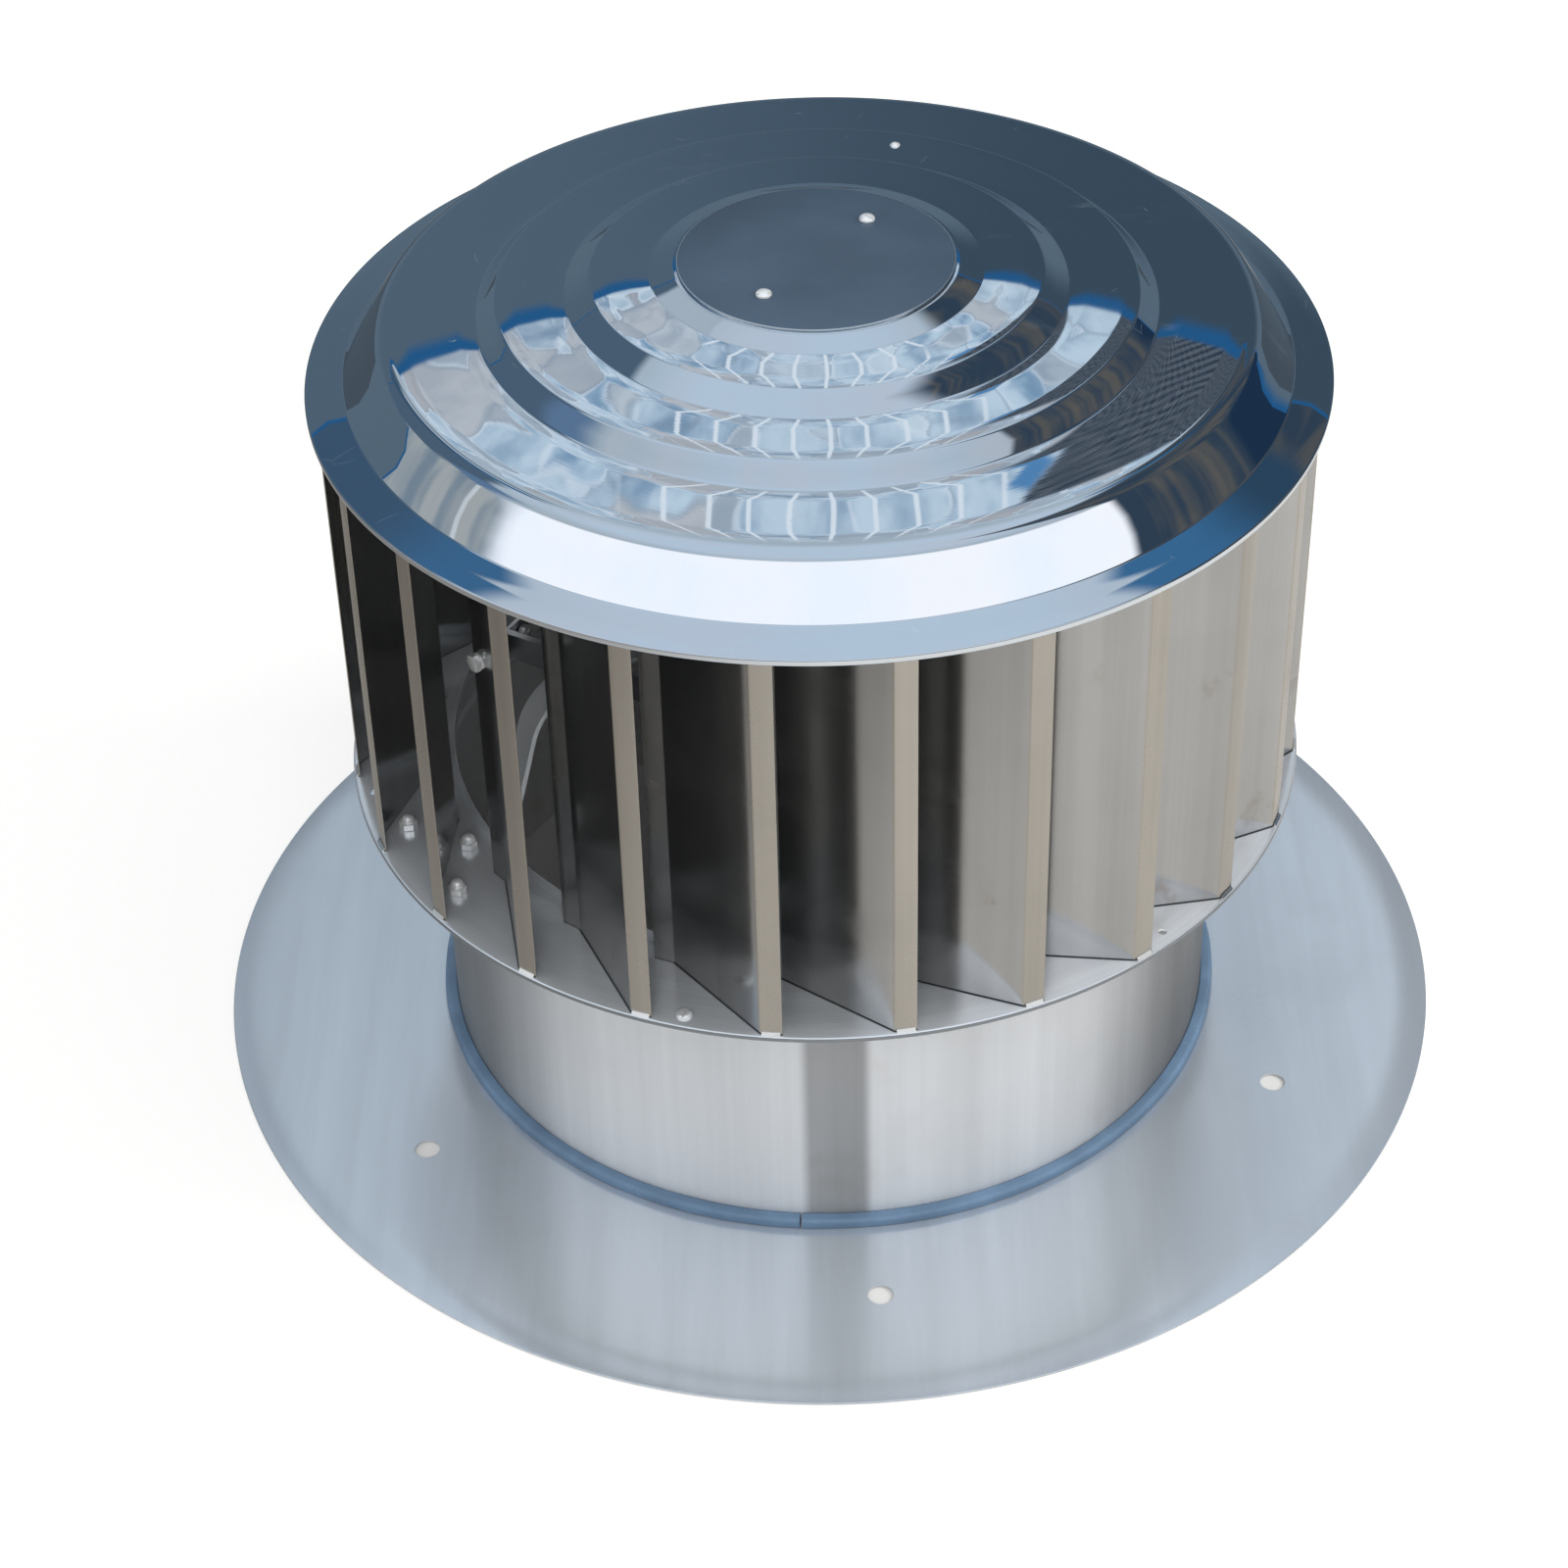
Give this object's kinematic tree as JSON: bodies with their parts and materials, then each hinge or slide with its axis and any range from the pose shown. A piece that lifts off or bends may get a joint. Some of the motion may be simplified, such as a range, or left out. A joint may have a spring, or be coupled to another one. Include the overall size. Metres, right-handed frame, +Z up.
{
  "type": "roof turbine ventilator",
  "caption": "Wind-driven roof ventilator: a louvred rotor under a stepped dome, on a fixed shaft and bearings above a flanged round throat.",
  "frame": {"origin": "on the spin axis, at the underside of the flange", "axes": "+Z up along the spin axis, out of the roof; -Y towards the front of the view, +X to its right"},
  "size_m": [0.7999, 0.8, 0.5438],
  "materials": {
    "satin_sheet": "satin rolled stainless sheet, faintly mottled",
    "brushed_tube": "stainless sheet brushed round the tube",
    "seal_compound": "smooth light blue-grey sealing bead",
    "fastener_steel": "bright stainless fasteners",
    "plated_steel": "zinc-plated bar, dull",
    "ground_steel": "ground shaft steel",
    "bearing_steel": "polished bearing steel",
    "cage_brass": "pressed brass cage",
    "polished_ring": "polished stainless sheet",
    "bright_arm": "bright stainless bar",
    "cast_housing": "turned aluminium",
    "mirror_dome": "spun mirror-finish stainless sheet",
    "cap_plate": "flat polished stainless plate",
    "polished_vane": "polished stainless sheet with satin hems"
  },
  "bodies": {
    "base": {"base_flange": "satin_sheet", "neck_tube": "brushed_tube", "neck_seal": "seal_compound", "neck_seam_strip": "brushed_tube", "neck_seam_rivets": "fastener_steel", "neck_bracket": "plated_steel", "bracket_bolts": "fastener_steel", "shaft": "ground_steel", "lower_spacer": "ground_steel", "upper_spacer": "ground_steel", "shaft_washer": "fastener_steel", "shaft_locknut": "fastener_steel", "lower_inner_race": "bearing_steel", "upper_inner_race": "bearing_steel"},
    "rotor": {"lower_ring": "polished_ring", "top_ring": "polished_ring", "vane_01": "polished_vane", "vane_02": "polished_vane", "vane_03": "polished_vane", "vane_04": "polished_vane", "vane_05": "polished_vane", "vane_06": "polished_vane", "vane_07": "polished_vane", "vane_08": "polished_vane", "vane_09": "polished_vane", "vane_10": "polished_vane", "vane_11": "polished_vane", "vane_12": "polished_vane", "vane_13": "polished_vane", "vane_14": "polished_vane", "vane_15": "polished_vane", "vane_16": "polished_vane", "vane_17": "polished_vane", "vane_18": "polished_vane", "vane_19": "polished_vane", "vane_20": "polished_vane", "vane_21": "polished_vane", "vane_22": "polished_vane", "vane_23": "polished_vane", "vane_24": "polished_vane", "lower_arm_1": "bright_arm", "lower_arm_2": "bright_arm", "lower_arm_3": "bright_arm", "upper_spider": "bright_arm", "arm_bolts": "fastener_steel", "lower_housing": "cast_housing", "upper_housing": "cast_housing", "lower_outer_race": "bearing_steel", "upper_outer_race": "bearing_steel", "balance_screws": "fastener_steel", "balance_weight": "fastener_steel", "dome": "mirror_dome", "dome_cap": "cap_plate", "cap_screws": "fastener_steel", "dome_rivet": "fastener_steel"},
    "lower_ball_set": {"lower_balls": "bearing_steel", "lower_cage": "cage_brass"},
    "upper_ball_set": {"upper_balls": "bearing_steel", "upper_cage": "cage_brass"}
  },
  "joints": [
    {"name": "rotor_spin", "type": "hinge", "parent": "base", "child": "rotor", "pos_m": [0, 0, 0.324], "axis": [0, 0, 1], "continuous": true},
    {"name": "lower_balls_roll", "type": "hinge", "parent": "base", "child": "lower_ball_set", "pos_m": [0, 0, 0.324], "axis": [0, 0, 1], "continuous": true},
    {"name": "upper_balls_roll", "type": "hinge", "parent": "base", "child": "upper_ball_set", "pos_m": [0, 0, 0.4845], "axis": [0, 0, 1], "continuous": true}
  ],
  "couplings": [
    {"joint": "lower_balls_roll", "follows": "rotor_spin", "ratio": 0.6149},
    {"joint": "upper_balls_roll", "follows": "rotor_spin", "ratio": 0.6149}
  ]
}
